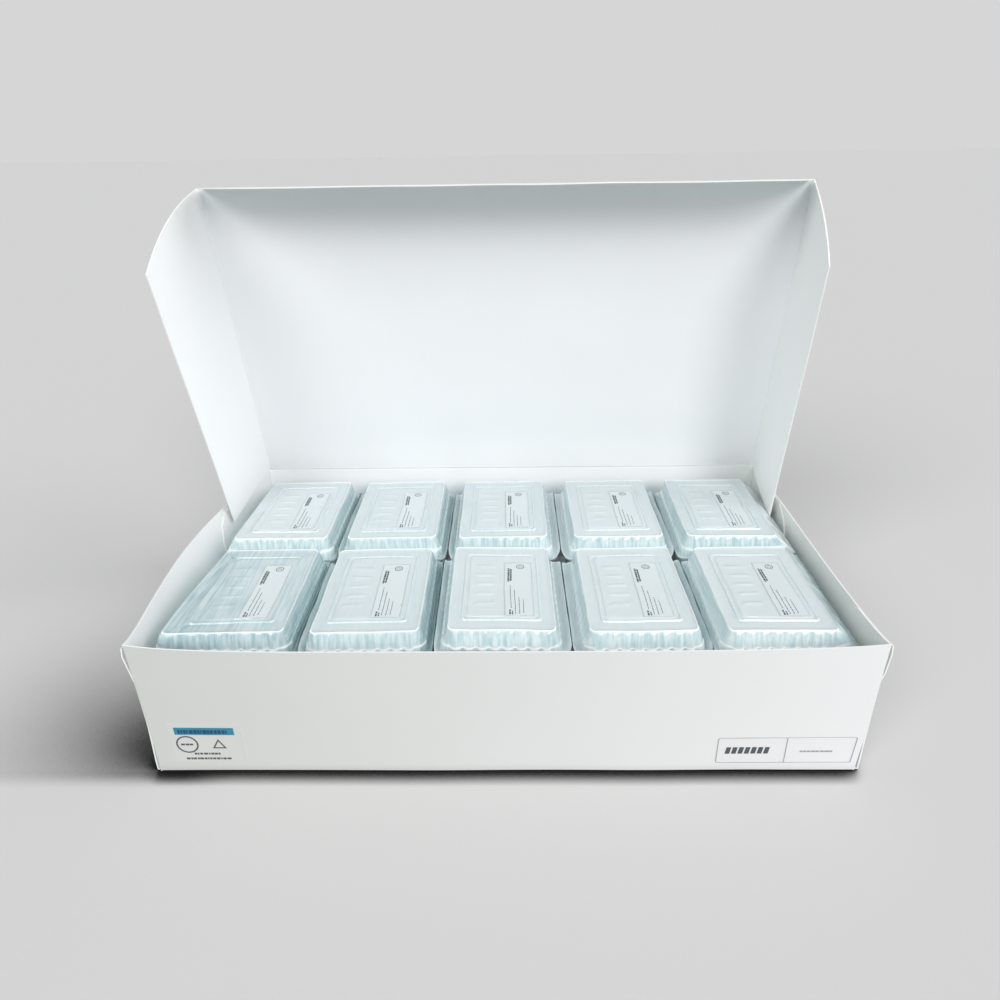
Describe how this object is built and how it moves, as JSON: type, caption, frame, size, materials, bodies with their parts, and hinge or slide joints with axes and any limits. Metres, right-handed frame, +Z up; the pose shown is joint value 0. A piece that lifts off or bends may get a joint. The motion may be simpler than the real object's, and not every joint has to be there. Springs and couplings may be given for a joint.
{
  "type": "box of pipette tips",
  "caption": "Open flat carton of folded white board with a hinged lid, filled with clear formed packs of racked pipette tips.",
  "frame": {"origin": "centre of the tray's underside", "axes": "+X along the carton's long side, +Y from the front to the hinge side, +Z up"},
  "size_m": [0.517, 0.2885, 0.3871],
  "materials": {
    "carton_board": "smooth white coated board",
    "label_paper": "matt paper label",
    "clear_film": "clear formed film, faintly blue-green",
    "rack_plastic": "moulded plastic, matt",
    "tip_plastic": "translucent moulded plastic",
    "label_film": "clear printed film label"
  },
  "bodies": {
    "tray": {"carton_tray": "carton_board", "carton_label": "label_paper", "pack_base_1": "clear_film", "pack_lid_1": "clear_film", "tip_rack_1": "rack_plastic", "tips_1": "tip_plastic", "pack_label_1": "label_film", "pack_base_2": "clear_film", "pack_lid_2": "clear_film", "tip_rack_2": "rack_plastic", "tips_2": "tip_plastic", "pack_label_2": "label_film", "pack_base_3": "clear_film", "pack_lid_3": "clear_film", "tip_rack_3": "rack_plastic", "tips_3": "tip_plastic", "pack_label_3": "label_film", "pack_base_4": "clear_film", "pack_lid_4": "clear_film", "tip_rack_4": "rack_plastic", "tips_4": "tip_plastic", "pack_label_4": "label_film", "pack_base_5": "clear_film", "pack_lid_5": "clear_film", "tip_rack_5": "rack_plastic", "tips_5": "tip_plastic", "pack_label_5": "label_film", "pack_base_6": "clear_film", "pack_lid_6": "clear_film", "tip_rack_6": "rack_plastic", "tips_6": "tip_plastic", "pack_label_6": "label_film", "pack_base_7": "clear_film", "pack_lid_7": "clear_film", "tip_rack_7": "rack_plastic", "tips_7": "tip_plastic", "pack_label_7": "label_film", "pack_base_8": "clear_film", "pack_lid_8": "clear_film", "tip_rack_8": "rack_plastic", "tips_8": "tip_plastic", "pack_label_8": "label_film", "pack_base_9": "clear_film", "pack_lid_9": "clear_film", "tip_rack_9": "rack_plastic", "tips_9": "tip_plastic", "pack_label_9": "label_film", "pack_base_10": "clear_film", "pack_lid_10": "clear_film", "tip_rack_10": "rack_plastic", "tips_10": "tip_plastic", "pack_label_10": "label_film"},
    "lid": {"carton_lid": "carton_board"},
    "tuck": {"tuck_flap": "carton_board"},
    "left_flap": {"lid_flap_left": "carton_board"},
    "right_flap": {"lid_flap_right": "carton_board"}
  },
  "joints": [
    {"name": "lid_hinge", "type": "hinge", "parent": "tray", "child": "lid", "pos_m": [0, 0.142, 0.1081], "axis": [-1, 0, 0], "range_deg": [-78.5, 101.5]},
    {"name": "tuck_crease", "type": "hinge", "parent": "lid", "child": "tuck", "pos_m": [0, 0.08588, 0.38395], "axis": [-1, 0, 0], "range_deg": [-24, 31.1]},
    {"name": "left_crease", "type": "hinge", "parent": "lid", "child": "left_flap", "pos_m": [-0.2465, 0.142, 0.1081], "axis": [0, 0.1994, -0.9799], "range_deg": [-12.7, 16.5]},
    {"name": "right_crease", "type": "hinge", "parent": "lid", "child": "right_flap", "pos_m": [0.2465, 0.142, 0.1081], "axis": [0, -0.1994, 0.9799], "range_deg": [-3.9, 3]}
  ],
  "couplings": [
    {"joint": "tuck_crease", "follows": "lid_hinge", "ratio": 0.30563},
    {"joint": "left_crease", "follows": "lid_hinge", "ratio": 0.16168},
    {"joint": "right_crease", "follows": "lid_hinge", "ratio": -0.03812}
  ]
}
